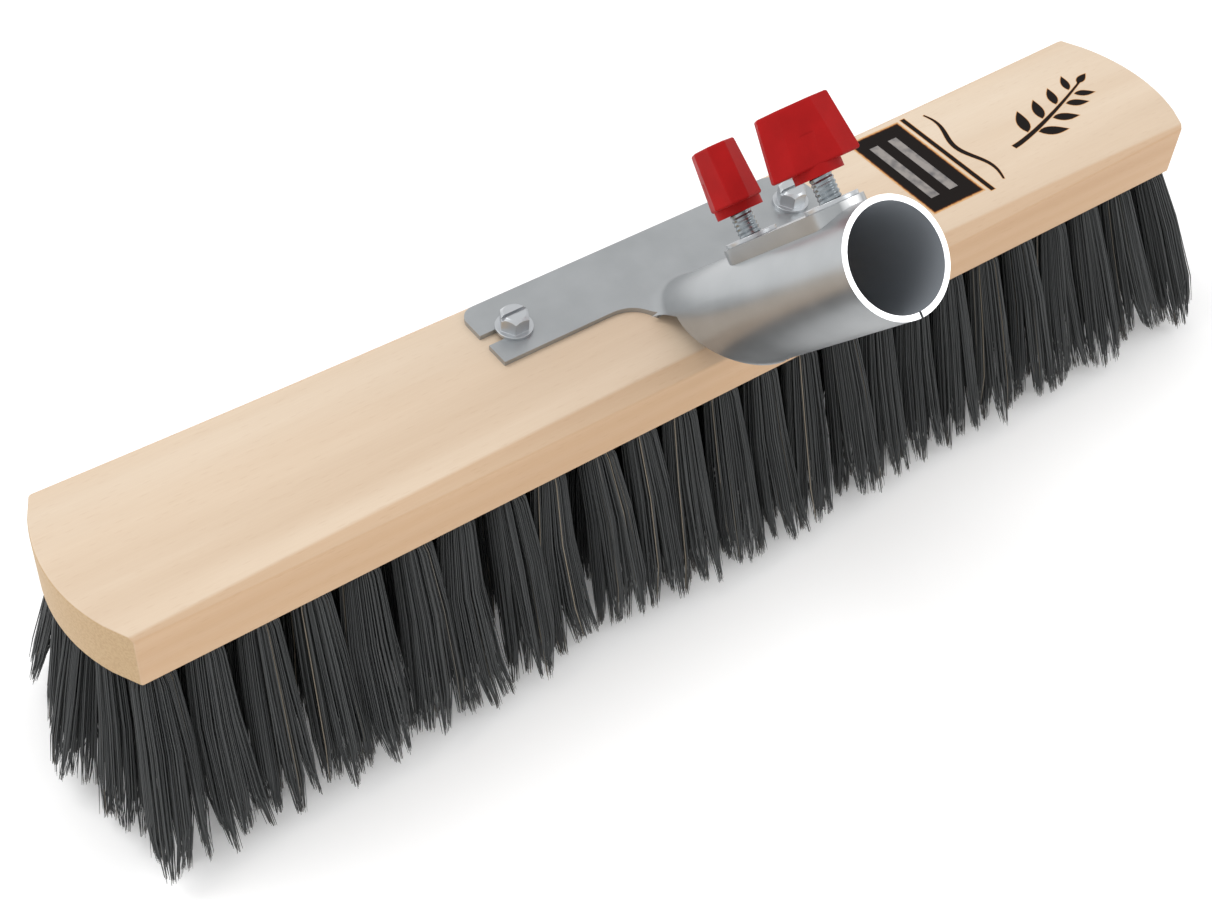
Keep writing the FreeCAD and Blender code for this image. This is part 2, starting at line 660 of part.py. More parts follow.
parts = all_parts()
doc.recompute()
check(parts)
os.makedirs("parts", exist_ok=True)
for part in parts:
    part.Shape.exportStep("parts/%s.step" % part.Label)
    box = part.Shape.BoundBox
    corners = (box.XMin, box.YMin, box.ZMin, box.XMax, box.YMax, box.ZMax)
    print("%-24s %3d solids  %10.1f mm3  " % (part.Label, len(part.Shape.Solids), part.Shape.Volume), end="")
    print(" ".join("%7.1f" % corner for corner in corners))
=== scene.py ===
import math
import random

import bmesh
import bpy
from mathutils import Matrix, Vector


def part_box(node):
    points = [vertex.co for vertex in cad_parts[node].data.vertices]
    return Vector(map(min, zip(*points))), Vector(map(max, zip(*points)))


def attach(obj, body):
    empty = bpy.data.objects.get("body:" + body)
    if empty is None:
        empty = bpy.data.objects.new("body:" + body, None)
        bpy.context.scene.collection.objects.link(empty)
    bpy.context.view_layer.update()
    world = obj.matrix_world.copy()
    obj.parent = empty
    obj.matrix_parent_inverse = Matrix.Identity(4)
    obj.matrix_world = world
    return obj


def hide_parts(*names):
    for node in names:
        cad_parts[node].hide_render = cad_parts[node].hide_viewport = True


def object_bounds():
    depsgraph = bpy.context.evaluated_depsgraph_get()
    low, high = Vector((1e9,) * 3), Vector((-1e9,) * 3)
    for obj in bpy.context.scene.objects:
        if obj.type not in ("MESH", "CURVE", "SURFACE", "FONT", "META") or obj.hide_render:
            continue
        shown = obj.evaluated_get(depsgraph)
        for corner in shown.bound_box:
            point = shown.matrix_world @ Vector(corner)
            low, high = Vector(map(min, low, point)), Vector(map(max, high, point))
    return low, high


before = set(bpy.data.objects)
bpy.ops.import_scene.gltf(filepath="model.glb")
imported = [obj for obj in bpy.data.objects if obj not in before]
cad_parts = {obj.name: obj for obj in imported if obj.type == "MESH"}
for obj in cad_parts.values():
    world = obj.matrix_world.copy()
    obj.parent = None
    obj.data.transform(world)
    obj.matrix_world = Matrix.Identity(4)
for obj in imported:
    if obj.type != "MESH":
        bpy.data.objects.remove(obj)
cad_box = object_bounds()


# ---------------------------------------------------------------- studio
# The broom head stands on its bristles on a white acrylic table, faintly lit from below. Soft boxes
# hang over its back left and at its front right, and white walls fill the shadows. A long lens looks
# down on it from the front left.

TABLE_REACH = 6.0
TABLE_GAP = 0.0002

scene = bpy.context.scene
scene.view_settings.view_transform = "Standard"


def srgb(text):
    """The linear colour of an sRGB hex value."""
    parts = [int(text[at:at + 2], 16) / 255 for at in (1, 3, 5)]
    return [p / 12.92 if p <= 0.04045 else ((p + 0.055) / 1.055) ** 2.4 for p in parts] + [1.0]


def add_node(tree, kind, settings, inputs):
    """A shader node with its settings. Each input is a value, or the output that feeds it."""
    node = tree.nodes.new("ShaderNode" + kind)
    for name, value in settings.items():
        setattr(node, name, value)
    for name, value in inputs.items():
        if isinstance(value, bpy.types.NodeSocket):
            tree.links.new(value, node.inputs[name])
        else:
            node.inputs[name].default_value = value
    return node


def new_material(name):
    """A material with its node tree and its Principled shader."""
    material = bpy.data.materials.new(name)
    material.use_nodes = True
    return material, material.node_tree, material.node_tree.nodes["Principled BSDF"]


def finished(shape, name, material):
    """An object with the bmesh as its smooth-shaded mesh."""
    mesh = bpy.data.meshes.new(name)
    shape.to_mesh(mesh)
    shape.free()
    mesh.shade_smooth()
    mesh.materials.append(material)
    piece = bpy.data.objects.new(name, mesh)
    scene.collection.objects.link(piece)
    return piece


white_acrylic, tree, shader = new_material("opal_acrylic")
shader.inputs["Base Color"].default_value = srgb("#FAFAFA")
shader.inputs["Roughness"].default_value = 0.9
shader.inputs["Specular IOR Level"].default_value = 0.1
shader.inputs["Emission Color"].default_value = srgb("#FFFFFF")
shader.inputs["Emission Strength"].default_value = 0.13
sheet = bmesh.new()
bmesh.ops.create_grid(sheet, x_segments=1, y_segments=1, size=TABLE_REACH)
bmesh.ops.translate(sheet, verts=sheet.verts, vec=(0, 0, -TABLE_GAP))
finished(sheet, "table_top", white_acrylic)

room = bpy.data.worlds.new("white_room")
room.use_nodes = True
room.node_tree.nodes["Background"].inputs["Color"].default_value = srgb("#FFFFFF")
room.node_tree.nodes["Background"].inputs["Strength"].default_value = 0.92
scene.world = room

SOFT_BOXES = (
    ("over_back_left", (-0.75, 0.75, 1.5), 1.1, 11.0),
    ("front_right", (0.85, -0.9, 0.95), 0.7, 3.0),
)
LIT_MIDDLE = Vector((0, -0.03, 0.1))
for name, place, wide, watts in SOFT_BOXES:
    lamp = bpy.data.lights.new(name, "AREA")
    lamp.shape = "DISK"
    lamp.size = wide
    lamp.energy = watts
    box = bpy.data.objects.new(name, lamp)
    box.location = place
    aim = LIT_MIDDLE - Vector(place)
    box.rotation_euler = aim.to_track_quat("-Z", "Y").to_euler()
    scene.collection.objects.link(box)

HEADING = math.radians(40.65)
DOWN = math.radians(46.65)
ROLL = math.radians(5.32)
CAMERA_PLACE = (-0.2872, -0.3087, 0.4571)
forward = Vector((
    math.sin(HEADING) * math.cos(DOWN),
    math.cos(HEADING) * math.cos(DOWN),
    -math.sin(DOWN),
))
level = Vector((math.cos(HEADING), -math.sin(HEADING), 0))
upright = level.cross(forward)
right = math.cos(ROLL) * level + math.sin(ROLL) * upright
up = math.cos(ROLL) * upright - math.sin(ROLL) * level
lens = bpy.data.cameras.new("studio_camera")
lens.sensor_width = 36.0
lens.lens = 56.45
camera = bpy.data.objects.new("studio_camera", lens)
facing = Matrix((right, up, -forward)).transposed().to_4x4()
camera.matrix_world = Matrix.Translation(CAMERA_PLACE) @ facing
scene.collection.objects.link(camera)
scene.camera = camera


# ---------------------------------------------------------------- beech block
# The head is one board of steamed beech, planed, sawn round at both ends, and sanded: the long top
# edges are worn away most at their middle. It is pale and dense, with a quiet straight grain, short
# brown flecks along it, and yellower open end grain.

block_low, block_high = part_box("wooden_block")
END_BULGE = 0.0086
BEVEL_MIDDLE = 0.0042
BEVEL_END = 0.0013
EDGE_EASE = 0.0006
LONG_CUTS = 16
CROSS_CUTS = 8
CROSS_PITCH = 0.003
CLOSE = 1e-5
half_length = block_high.x - END_BULGE
half_width = block_high.y
end_radius = (half_width ** 2 + END_BULGE ** 2) / (2 * END_BULGE)

block = bmesh.new()
bmesh.ops.create_cube(block, size=1)
bmesh.ops.scale(
    block, verts=block.verts,
    vec=(2 * half_length, 2 * half_width, block_high.z - block_low.z),
)
bmesh.ops.translate(block, verts=block.verts, vec=(0, 0, (block_low.z + block_high.z) / 2))
top_edges = []
for edge in block.edges:
    middle = (edge.verts[0].co + edge.verts[1].co) / 2
    along_side = abs(middle.y) > half_width - CLOSE and abs(middle.x) < CLOSE
    if along_side and middle.z > block_high.z - CLOSE:
        top_edges.append(edge)
bmesh.ops.bevel(
    block, geom=top_edges, offset=BEVEL_END, offset_type="OFFSET",
    segments=1, profile=0.5, affect="EDGES", material=-1,
)
for station in range(1 - LONG_CUTS, LONG_CUTS):
    everything = block.verts[:] + block.edges[:] + block.faces[:]
    cut = (half_length * station / LONG_CUTS, 0, 0)
    bmesh.ops.bisect_plane(block, geom=everything, plane_co=cut, plane_no=(1, 0, 0))
for station in range(1 - CROSS_CUTS, CROSS_CUTS):
    everything = block.verts[:] + block.edges[:] + block.faces[:]
    cut = (0, CROSS_PITCH * station, 0)
    bmesh.ops.bisect_plane(block, geom=everything, plane_co=cut, plane_no=(0, 1, 0))
# the top bevels widen from both ends to the middle
for vert in block.verts:
    side = math.copysign(1, vert.co.y)
    leg = BEVEL_END + (BEVEL_MIDDLE - BEVEL_END) * (1 - (vert.co.x / half_length) ** 2)
    if abs(abs(vert.co.y) - (half_width - BEVEL_END)) < CLOSE and vert.co.z > block_high.z - CLOSE:
        vert.co.y = side * (half_width - leg)
    elif abs(vert.co.z - (block_high.z - BEVEL_END)) < CLOSE:
        vert.co.z = block_high.z - leg
# both ends are sawn to an arc
for vert in block.verts:
    if abs(vert.co.x) > half_length - CLOSE:
        bulge = math.sqrt(end_radius ** 2 - vert.co.y ** 2) - (end_radius - END_BULGE)
        vert.co.x += math.copysign(bulge, vert.co.x)
sharp = [edge for edge in block.edges if edge.calc_face_angle(0) > math.radians(25)]
bmesh.ops.bevel(
    block, geom=sharp, offset=EDGE_EASE, offset_type="OFFSET",
    segments=3, profile=0.5, affect="EDGES", material=-1,
)

beech, tree, shader = new_material("sanded_beech")
place = add_node(tree, "TexCoord", {}, {})
# growth rings 8 mm apart, which is coarser than real ones, drawn out along the board
fibres = add_node(
    tree, "Mapping", {},
    {"Vector": place.outputs["Object"], "Scale": (0.06, 1, 1), "Location": (0, 0.013, -0.19)},
)
rings = add_node(
    tree, "TexWave", {"wave_type": "RINGS", "rings_direction": "X"},
    {"Vector": fibres.outputs[0], "Scale": 40.0, "Distortion": 5.0, "Detail": 3.0, "Detail Scale": 1.2},
)
# broad pale and warm bands, 15 mm across and over 200 mm long
bands = add_node(
    tree, "TexNoise", {}, {"Vector": fibres.outputs[0], "Scale": 65.0, "Detail": 3.0, "Roughness": 0.5}
)
# fibres 0.5 mm thick, which is coarser than real ones
fine = add_node(tree, "Mapping", {}, {"Vector": place.outputs["Object"], "Scale": (0.045, 1, 1)})
threads = add_node(tree, "TexNoise", {}, {"Vector": fine.outputs[0], "Scale": 1900.0, "Detail": 2.0})
# ray flecks about 2 mm long and 0.3 mm wide
short = add_node(tree, "Mapping", {}, {"Vector": place.outputs["Object"], "Scale": (0.16, 1, 1)})
cells = add_node(
    tree, "TexVoronoi", {"feature": "F1"},
    {"Vector": short.outputs[0], "Scale": 900.0, "Randomness": 1.0},
)
flecks = add_node(
    tree, "MapRange", {},
    {"Value": cells.outputs["Distance"], "From Min": 0.10, "From Max": 0.26, "To Min": 1.0, "To Max": 0.0},
)
tone = add_node(tree, "ValToRGB", {}, {"Fac": bands.outputs["Fac"]})
tone.color_ramp.elements[0].position = 0.3
tone.color_ramp.elements[0].color = srgb("#D0BCA5")
tone.color_ramp.elements[1].position = 0.72
tone.color_ramp.elements[1].color = srgb("#DBCAB5")
faint_rings = add_node(tree, "Math", {"operation": "MULTIPLY"}, {0: rings.outputs["Fac"], 1: 0.16})
ringed = add_node(
    tree, "Mix", {"data_type": "RGBA", "blend_type": "MULTIPLY"},
    {"Factor": faint_rings.outputs[0], "A": tone.outputs["Color"], "B": srgb("#E6CDAE")},
)
faint_threads = add_node(tree, "Math", {"operation": "MULTIPLY"}, {0: threads.outputs["Fac"], 1: 0.18})
threaded = add_node(
    tree, "Mix", {"data_type": "RGBA", "blend_type": "MULTIPLY"},
    {"Factor": faint_threads.outputs[0], "A": ringed.outputs["Result"], "B": srgb("#D9C0A0")},
)
faint_flecks = add_node(tree, "Math", {"operation": "MULTIPLY"}, {0: flecks.outputs[0], 1: 0.10})
flecked = add_node(
    tree, "Mix", {"data_type": "RGBA"},
    {"Factor": faint_flecks.outputs[0], "A": threaded.outputs["Result"], "B": srgb("#A67E58")},
)
# the long sides are painted darker and warmer than the top: painted shade on the sides, together with the
# warmer tone of their quarter-sawn grain
facing = add_node(tree, "SeparateXYZ", {}, {"Vector": place.outputs["Normal"]})
sideways = add_node(tree, "Math", {"operation": "ABSOLUTE"}, {0: facing.outputs["Y"]})
shaded_sides_mask = add_node(
    tree, "MapRange", {}, {"Value": sideways.outputs[0], "From Min": 0.2, "From Max": 0.9}
)
side_shaded_wood = add_node(
    tree, "Mix", {"data_type": "RGBA", "blend_type": "MULTIPLY"},
    {"Factor": shaded_sides_mask.outputs[0], "A": flecked.outputs["Result"], "B": srgb("#F2DEC8")},
)
# the round ends show open end grain, which is yellower and speckled
endways = add_node(tree, "Math", {"operation": "ABSOLUTE"}, {0: facing.outputs["X"]})
end_grain = add_node(tree, "MapRange", {}, {"Value": endways.outputs[0], "From Min": 0.55, "From Max": 0.85})
pores = add_node(tree, "TexNoise", {}, {"Vector": place.outputs["Object"], "Scale": 1500.0, "Detail": 2.0})
ends = add_node(tree, "ValToRGB", {}, {"Fac": pores.outputs["Fac"]})
ends.color_ramp.elements[0].position = 0.35
ends.color_ramp.elements[0].color = srgb("#B09066")
ends.color_ramp.elements[1].position = 0.6
ends.color_ramp.elements[1].color = srgb("#BC9E74")
wood = add_node(
    tree, "Mix", {"data_type": "RGBA"},
    {"Factor": end_grain.outputs[0], "A": side_shaded_wood.outputs["Result"], "B": ends.outputs["Color"]},
)
tree.links.new(wood.outputs["Result"], shader.inputs["Base Color"])
raised = add_node(tree, "Bump", {}, {"Strength": 0.08, "Distance": 0.0002, "Height": threads.outputs["Fac"]})
tree.links.new(raised.outputs[0], shader.inputs["Normal"])
shader.inputs["Roughness"].default_value = 0.52
shader.inputs["IOR"].default_value = 1.5

board = finished(block, "beech_board", beech)
soften = board.modifiers.new("even_faces", "WEIGHTED_NORMAL")
soften.keep_sharp = False
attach(board, "broom_head")
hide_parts("wooden_block")


# ---------------------------------------------------------------- burnt marks
# A hot brass stamp has burnt a dark panel, a rule, a flourish and a leafy sprig into the top of the
# block. Each is charred nearly black inside, and scorched brown where the heat crept past its edge.

charred, tree, shader = new_material("charred_beech")
place = add_node(tree, "TexCoord", {}, {})
soot = add_node(tree, "TexNoise", {}, {"Vector": place.outputs["Object"], "Scale": 900.0, "Detail": 4.0})
depth = add_node(tree, "Attribute", {"attribute_name": "burn"}, {})
uneven = add_node(tree, "Math", {"operation": "MULTIPLY_ADD"}, {0: soot.outputs["Fac"], 1: 0.4, 2: -0.2})
heat = add_node(tree, "Math", {"operation": "ADD"}, {0: depth.outputs["Fac"], 1: uneven.outputs[0]})
char = add_node(tree, "ValToRGB", {}, {"Fac": heat.outputs[0]})
char.color_ramp.elements[0].position = 0.0
char.color_ramp.elements[0].color = srgb("#D0B493")
char.color_ramp.elements[1].position = 0.85
char.color_ramp.elements[1].color = srgb("#140E0C")
toasted = char.color_ramp.elements.new(0.35)
toasted.color = srgb("#C9935A")
scorched = char.color_ramp.elements.new(0.62)
scorched.color = srgb("#5E3118")
tree.links.new(char.outputs["Color"], shader.inputs["Base Color"])
shader.inputs["Roughness"].default_value = 0.8
shader.inputs["Specular IOR Level"].default_value = 0.15

MARK_SUNK = 0.0001
MARK_THICK = 0.00014


def burnt(outline, name, rim):
    """A closed outline in plan, burnt into the top of the block. The burn deepens across its rim."""
    mark = bmesh.new()
    layer = mark.verts.layers.float.new("burn")
    low = mark.faces.new([mark.verts.new((x, y, block_high.z - MARK_SUNK)) for x, y in outline])
    raise_up = bmesh.ops.extrude_face_region(mark, geom=[low])
    lifted = [item for item in raise_up["geom"] if isinstance(item, bmesh.types.BMVert)]
    bmesh.ops.translate(mark, verts=lifted, vec=(0, 0, MARK_THICK))
    top = [item for item in raise_up["geom"] if isinstance(item, bmesh.types.BMFace)]
    bmesh.ops.inset_region(mark, faces=top, thickness=rim, use_even_offset=True)
    for face in top:
        for vert in face.verts:
            vert[layer] = 1.0
    bmesh.ops.triangulate(mark, faces=top)
    bmesh.ops.recalc_face_normals(mark, faces=mark.faces)
    piece = finished(mark, name, charred)
    piece.data.shade_flat()
    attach(piece, "broom_head")


def box_outline(x0, y0, x1, y1):
    """A rectangle from two opposite corners, as a closed outline."""
    return [(x0, y0), (x1, y0), (x1, y1), (x0, y1)]


LEAF_STEPS = 8


def leaf_outline(root, angle, length, width):
    """A pointed leaf from its root, as a closed outline."""
    outline = []
    for side in (1, -1):
        for step in range(LEAF_STEPS):
            t = step / LEAF_STEPS if side > 0 else 1 - step / LEAF_STEPS
            spread = side * width / 2 * math.sin(math.pi * t ** 0.8)
            x = t * length
            outline.append((root[0] + x * math.cos(angle) - spread * math.sin(angle),
                            root[1] + x * math.sin(angle) + spread * math.cos(angle)))
    return outline


def stroke_outline(points, widths):
    """A brush stroke along points, as a closed outline."""
    left_side, right_side = [], []
    for at, (x, y) in enumerate(points):
        before = points[max(at - 1, 0)]
        after = points[min(at + 1, len(points) - 1)]
        run = Vector((after[0] - before[0], after[1] - before[1])).normalized()
        half = widths[at] / 2
        left_side.append((x - run.y * half, y + run.x * half))
        right_side.append((x + run.y * half, y - run.x * half))
    return left_side + right_side[::-1]


burnt(box_outline(0.0880, -0.0175, 0.1105, 0.0240), "burnt_panel", 0.0014)
burnt(box_outline(0.1115, -0.0188, 0.1138, 0.0243), "burnt_rule", 0.0005)
WAVE_STEPS = 27
wave, wave_widths = [], []
for step in range(WAVE_STEPS + 1):
    wave.append((0.1195 + 0.0019 * math.sin(step / 3.0), -0.0165 + 0.0385 * step / WAVE_STEPS))
    wave_widths.append(0.0010 + 0.0012 * math.sin(math.pi * step / WAVE_STEPS))
burnt(stroke_outline(wave, wave_widths), "burnt_flourish", 0.0003)
STEM_STEPS = 14
stem, stem_widths = [], []
for step in range(STEM_STEPS + 1):
    stem.append((0.134 + 0.045 * step / STEM_STEPS, -0.0065 + 0.0135 * (step / STEM_STEPS) ** 1.3))
    stem_widths.append(0.0022 - 0.0012 * step / STEM_STEPS)
burnt(stroke_outline(stem, stem_widths), "burnt_stem", 0.0003)
# each leaf: the step of the stem that it grows from, and its side, 0 being the tip
LEAVES = ((3, 1), (4, -1), (6, 1), (7, -1), (9, 1), (10, -1), (12, 1), (12, -1), (14, 0))
LEAF_RISE = 0.35
LEAF_SPLAY = 0.75
LEAF_SLENDER = 0.40
for count, (at, side) in enumerate(LEAVES):
    x, y = stem[at]
    long = 0.0132 - 0.0004 * at
    root = (x - (0.001 if side == 0 else 0), y + side * 0.0011)
    leaf = leaf_outline(root, LEAF_RISE + side * LEAF_SPLAY, long, long * LEAF_SLENDER)
    burnt(leaf, "burnt_leaf_%d" % (count + 1), 0.0004)

# two pale bars are printed on the panel, and worn grey
pale_print, tree, shader = new_material("worn_panel_bars")
place = add_node(tree, "TexCoord", {}, {})
worn = add_node(tree, "TexNoise", {}, {"Vector": place.outputs["Object"], "Scale": 260.0, "Detail": 3.0})
bars = add_node(tree, "ValToRGB", {}, {"Fac": worn.outputs["Fac"]})
bars.color_ramp.elements[0].position = 0.3
bars.color_ramp.elements[0].color = srgb("#5C5A5C")
bars.color_ramp.elements[1].position = 0.6
bars.color_ramp.elements[1].color = srgb("#8E8884")
tree.links.new(bars.outputs["Color"], shader.inputs["Base Color"])
shader.inputs["Roughness"].default_value = 0.7
BAR_SIZE = (0.0036, 0.029, 0.0001)
for name, x in (("panel_bar_left", 0.0945), ("panel_bar_right", 0.1025)):
    bar = bmesh.new()
    bmesh.ops.create_cube(bar, size=1)
    bmesh.ops.scale(bar, verts=bar.verts, vec=BAR_SIZE)
    bmesh.ops.translate(bar, verts=bar.verts, vec=(x, 0.0035, block_high.z + MARK_THICK - MARK_SUNK))
    piece = finished(bar, name, pale_print)
    piece.data.shade_flat()
    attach(piece, "broom_head")


# ---------------------------------------------------------------- anchors and bristle tufts
# Each tuft is a bundle of extruded plastic filaments, folded in two and driven into its hole under a
# flat steel anchor wire. It spreads as soon as it leaves the hole. The worn tips split, clump and end
# at uneven heights, and the outer tufts at the left end are pressed in.

drawn_wire, tree, shader = new_material("drawn_anchor_wire")
place = add_node(tree, "TexCoord", {}, {})
dull = add_node(tree, "TexNoise", {}, {"Vector": place.outputs["Object"], "Scale": 2000.0, "Detail": 2.0})
rough = add_node(tree, "MapRange", {}, {"Value": dull.outputs["Fac"], "To Min": 0.3, "To Max": 0.5})
tree.links.new(rough.outputs[0], shader.inputs["Roughness"])
shader.inputs["Base Color"].default_value = srgb("#9A9C9E")
shader.inputs["Metallic"].default_value = 1.0

filament, tree, shader = new_material("extruded_filament")
place = add_node(tree, "TexCoord", {}, {})
strand = add_node(tree, "NewGeometry", {}, {})
height = add_node(tree, "SeparateXYZ", {}, {"Vector": place.outputs["Object"]})
shade = add_node(tree, "ValToRGB", {}, {"Fac": strand.outputs["Random Per Island"]})
shade.color_ramp.elements[0].position = 0.0
shade.color_ramp.elements[0].color = srgb("#393B3C")
shade.color_ramp.elements[1].position = 0.975
shade.color_ramp.elements[1].color = srgb("#4B4D4D")
odd = shade.color_ramp.elements.new(0.988)
odd.color = srgb("#8B8172")
# within 10 mm of the floor the filaments are dusty and browner
worn_tip = add_node(
    tree, "MapRange", {},
    {"Value": height.outputs["Z"], "From Min": 0.002, "From Max": 0.010, "To Min": 0.4, "To Max": 0.0},
)
tipped = add_node(
    tree, "Mix", {"data_type": "RGBA"},
    {"Factor": worn_tip.outputs[0], "A": shade.outputs["Color"], "B": srgb("#5A4E44")},
)
tree.links.new(tipped.outputs["Result"], shader.inputs["Base Color"])
shader.inputs["Roughness"].default_value = 0.55
shader.inputs["Specular IOR Level"].default_value = 0.4
shader.inputs["IOR"].default_value = 1.5

STRANDS = 235
CLUMPS = 9
GOLDEN_TURN = math.pi * (3 - math.sqrt(5))
STRAND_RADIUS = 0.00018
BEND_ALONG, BEND_ACROSS = 0.0017, 0.0012
BOW = 0.0012
STRAY = 0.0005
CLUMP_STEP = 0.0045
TIP_GAP = 0.0006
TIP_ROUND = 0.006
TIP_RAGGED = 0.0015
CROSS_SHARE = 0.88
CAP_HEIGHT = 0.0029
FLOOR_GAP = 0.0005
BOX_GAP = 0.0004
PRESSED_FROM = 0.165
PRESSED_RUN = 0.04
OUTER_FOOT = 0.044
PRESSED_ALONG = 0.007
PRESSED_FORWARD = 0.010
underside = block_low.z


def tuft_axes(node):
    """Top and foot of each of a row's tufts, as the middles of its solid's two ends."""
    solids = bmesh.new()
    solids.from_mesh(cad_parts[node].data)
    bmesh.ops.remove_doubles(solids, verts=solids.verts, dist=1e-6)
    unvisited = set(solids.verts)
    axes = []
    for first in solids.verts:
        if first not in unvisited:
            continue
        unvisited.remove(first)
        solid = [first]
        for vert in solid:
            for edge in vert.link_edges:
                other = edge.other_vert(vert)
                if other in unvisited:
                    unvisited.remove(other)
                    solid.append(other)
        places = [vert.co.copy() for vert in solid]
        peak = max(co.z for co in places)
        cap = [co for co in places if co.z > peak - CAP_HEIGHT]
        foot = [co for co in places if co.z < FLOOR_GAP]
        axes.append((sum(cap, Vector()) / len(cap), sum(foot, Vector()) / len(foot)))
    solids.free()
    return sorted(axes, key=lambda axis: axis[0].x)


def grow_tuft(bundle, top, foot, rolls):
    """The tuft's filaments, as tapered splines of one curve. A tuft is wider along its row than across
    it, and at the left end it is pressed in, the more so the further out its foot is."""
    corner = max(0, -foot.x - PRESSED_FROM) / PRESSED_RUN * abs(foot.y) / OUTER_FOOT
    forward_push = -PRESSED_FORWARD * corner if foot.y > 0 else 0
    foot = foot + Vector((PRESSED_ALONG * corner, forward_push, 0))
    down = (foot - top).normalized()
    root = top + down * ((underside - top.z) / down.z)
    reach = root.z / -down.z
    beside = down.cross(Vector((0, 1, 0))).normalized()
    before = down.cross(beside)
    bend = beside * rolls.gauss(0, BEND_ALONG) + before * rolls.gauss(0, BEND_ACROSS)
    bow = beside * rolls.gauss(0, BOW)
    spread = rolls.uniform(0.92, 1.06)
    clumps = []
    for index in range(CLUMPS):
        turn = index * GOLDEN_TURN + rolls.uniform(0, 1.5)
        share = math.sqrt((index + 0.5) / CLUMPS)
        clumps.append((share * math.cos(turn), share * math.sin(turn), rolls.uniform(0, CLUMP_STEP)))
    for index in range(STRANDS):
        turn = index * GOLDEN_TURN + rolls.gauss(0, 0.2)
        share = ((index + 0.5) / STRANDS) ** 0.38
        x, y = share * math.cos(turn), share * math.sin(turn)
        near = min(clumps, key=lambda clump: (clump[0] - x) ** 2 + (clump[1] - y) ** 2)
        apart = math.hypot(near[0] - x, near[1] - y)
        length = reach - TIP_GAP - near[2] - TIP_ROUND * apart - rolls.uniform(0, TIP_RAGGED)
        stray = beside * rolls.gauss(0, STRAY) + before * rolls.gauss(0, STRAY)
        # distance below the block, the tuft's radius, pull towards the clump, and thickness
        levels = (
            (-0.002, 0.0032, 0.0, 1.0),
            (0.0065, 0.0058, 0.0, 1.0),
            (0.026, 0.0072, 0.05, 1.0),
            (length - 0.012, 0.0086, 0.22, 1.0),
            (length, 0.0092, 0.66, 0.35),
        )
        spline = bundle.splines.new("POLY")
        spline.points.add(len(levels) - 1)
        for point, (along, radius, pull, thick) in zip(spline.points, levels):
            over = max(along, 0) / reach
            away = radius * (spread if over > 0.05 else 1.0)
            sideways = beside * ((x + (near[0] - x) * pull) * away)
            sideways += before * ((y + (near[1] - y) * pull) * away * CROSS_SHARE)
            drift = (bend + stray) * over ** 1.5
            co = root + down * along + sideways + drift + bow * math.sin(math.pi * over)
            co.z = max(co.z, FLOOR_GAP)
            co.y = min(co.y, cad_box[1].y - BOX_GAP)
            co.x = max(min(co.x, cad_box[1].x - BOX_GAP), cad_box[0].x + BOX_GAP)
            point.co = (*co, 1.0)
            point.radius = thick


for number, row in enumerate(("front", "second", "middle", "fourth", "back")):
    rolls = random.Random(40 + number)
    bundle = bpy.data.curves.new(row + "_row_splines", "CURVE")
    bundle.dimensions = "3D"
    bundle.fill_mode = "FULL"
    bundle.bevel_depth = STRAND_RADIUS
    bundle.bevel_resolution = 0
    for top, foot in tuft_axes("bristles_%s_row" % row):
        grow_tuft(bundle, top, foot, rolls)
    curve = bpy.data.objects.new(row + "_row_curve", bundle)
    scene.collection.objects.link(curve)
    bpy.context.view_layer.update()
    evaluated = curve.evaluated_get(bpy.context.evaluated_depsgraph_get())
    mesh = bpy.data.meshes.new_from_object(evaluated)
    bpy.data.objects.remove(curve)
    mesh.name = row + "_row_filaments"
    mesh.shade_smooth()
    mesh.materials.clear()
    mesh.materials.append(filament)
    tufts = bpy.data.objects.new(row + "_row_filaments", mesh)
    scene.collection.objects.link(tufts)
    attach(tufts, "broom_head")
    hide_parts("bristles_%s_row" % row)
    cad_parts["anchors_%s_row" % row].data.materials[0] = drawn_wire


# ---------------------------------------------------------------- handle holder
# One stamping of 1.6 mm zinc-coated steel sheet: its plate is screwed to the block and its tab is
# rolled into the socket. The zinc is smooth and a little cloudy, the inside of the roll is duller, and
# the rim of the mouth carries a painted highlight, painted near-white.

zinc_sheet, tree, shader = new_material("zinc_coated_sheet")
place = add_node(tree, "TexCoord", {}, {})
cloud = add_node(tree, "TexNoise", {}, {"Vector": place.outputs["Object"], "Scale": 70.0, "Detail": 4.0})
grain = add_node(tree, "TexNoise", {}, {"Vector": place.outputs["Object"], "Scale": 1400.0, "Detail": 2.0})
tint = add_node(tree, "ValToRGB", {}, {"Fac": cloud.outputs["Fac"]})
tint.color_ramp.elements[0].position = 0.3
tint.color_ramp.elements[0].color = srgb("#A2A5A7")
tint.color_ramp.elements[1].position = 0.7
tint.color_ramp.elements[1].color = srgb("#ACAFB1")
# inside the roll, where the surface faces the socket's axis, the zinc has dulled to a darker oxide
SOCKET_FOOT = (0, -0.0185, 0.084)
SOCKET_RISE = math.radians(49)
SOCKET_AXIS = (0, -math.cos(SOCKET_RISE), math.sin(SOCKET_RISE))
from_foot = add_node(
    tree, "VectorMath", {"operation": "SUBTRACT"}, {0: place.outputs["Object"], 1: SOCKET_FOOT}
)
along = add_node(
    tree, "VectorMath", {"operation": "DOT_PRODUCT"}, {0: from_foot.outputs[0], 1: SOCKET_AXIS}
)
on_axis = add_node(
    tree, "VectorMath", {"operation": "SCALE"}, {0: SOCKET_AXIS, "Scale": along.outputs["Value"]}
)
radial = add_node(
    tree, "VectorMath", {"operation": "SUBTRACT"}, {0: from_foot.outputs[0], 1: on_axis.outputs[0]}
)
radius = add_node(tree, "VectorMath", {"operation": "LENGTH"}, {0: radial.outputs[0]})
inward = add_node(
    tree, "VectorMath", {"operation": "DOT_PRODUCT"}, {0: radial.outputs[0], 1: place.outputs["Normal"]}
)
